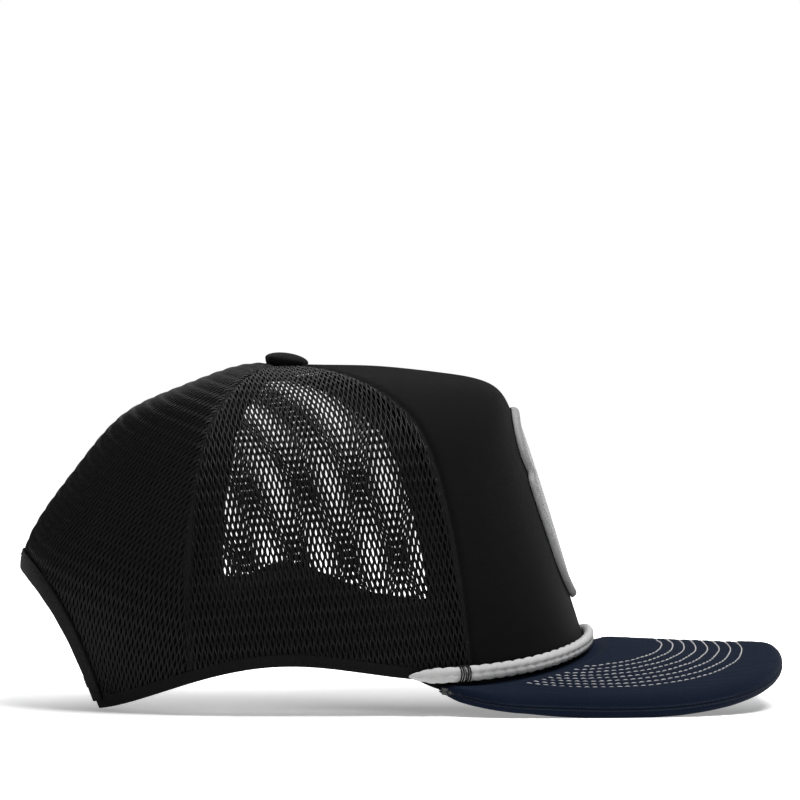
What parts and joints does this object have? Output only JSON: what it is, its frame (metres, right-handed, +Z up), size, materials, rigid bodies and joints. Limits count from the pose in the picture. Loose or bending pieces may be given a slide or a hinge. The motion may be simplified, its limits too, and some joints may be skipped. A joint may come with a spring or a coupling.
{
  "type": "trucker mesh cap",
  "caption": "High-crown cap with foam-backed front, open mesh sides and back, curved padded bill, cord above the bill, blank patch and snap closure.",
  "frame": {"origin": "bottom centre of the cap's bounding box, on the surface that the bill's sides and the rear corners stand on", "axes": "+X forward towards the bill's tip, +Y towards the wearer's left, +Z up"},
  "size_m": [0.2808, 0.1738, 0.1288],
  "materials": {
    "crown_cloth": "smooth black polyester twill",
    "foam": "charcoal foam backing",
    "mesh": "black hexagonal knit mesh",
    "lining": "thin black lining",
    "tape": "black seam tape",
    "sweatband": "black woven sweatband",
    "bill_cloth": "navy fine-cell foam cloth",
    "bill_board": "moulded board",
    "bill_thread": "light grey thread",
    "rope": "white braided cord",
    "tack_thread": "black thread",
    "button_cloth": "black cloth over a metal button",
    "rivet_metal": "dull",
    "patch_cloth": "light twill patch",
    "patch_thread": "merrowed border thread",
    "strap_plastic": "satin moulded plastic",
    "label": "blank woven label"
  },
  "bodies": {
    "cap": {"front_panel": "crown_cloth", "front_foam": "foam", "side_mesh_right": "mesh", "side_mesh_left": "mesh", "back_mesh_right": "mesh", "back_mesh_left": "mesh", "back_lining_right": "lining", "back_lining_left": "lining", "front_tape_right": "tape", "front_tape_left": "tape", "side_tape_right": "tape", "side_tape_left": "tape", "back_tape": "tape", "sweatband": "sweatband", "arch_binding": "tape", "bill_top": "bill_cloth", "bill_board": "bill_board", "bill_under": "bill_cloth", "bill_stitching": "bill_thread", "rope": "rope", "rope_tacks": "tack_thread", "button": "button_cloth", "button_rivet": "rivet_metal", "patch": "patch_cloth", "patch_border": "patch_thread", "hole_strap_tab": "strap_plastic", "peg_strap_tab": "strap_plastic", "inner_label": "label"},
    "hole_strap": {"hole_strap": "strap_plastic"},
    "peg_strap": {"peg_strap": "strap_plastic"}
  },
  "joints": [
    {"name": "hole_strap_swing", "type": "hinge", "parent": "cap", "child": "hole_strap", "pos_m": [-0.10822, 0.04276, 0.00204], "axis": [0.3478, 0, -0.9376], "range_deg": [0, 70]},
    {"name": "peg_strap_swing", "type": "hinge", "parent": "cap", "child": "peg_strap", "pos_m": [-0.10679, -0.04276, 0.00257], "axis": [0.3478, 0, -0.9376], "range_deg": [0, 60]}
  ]
}
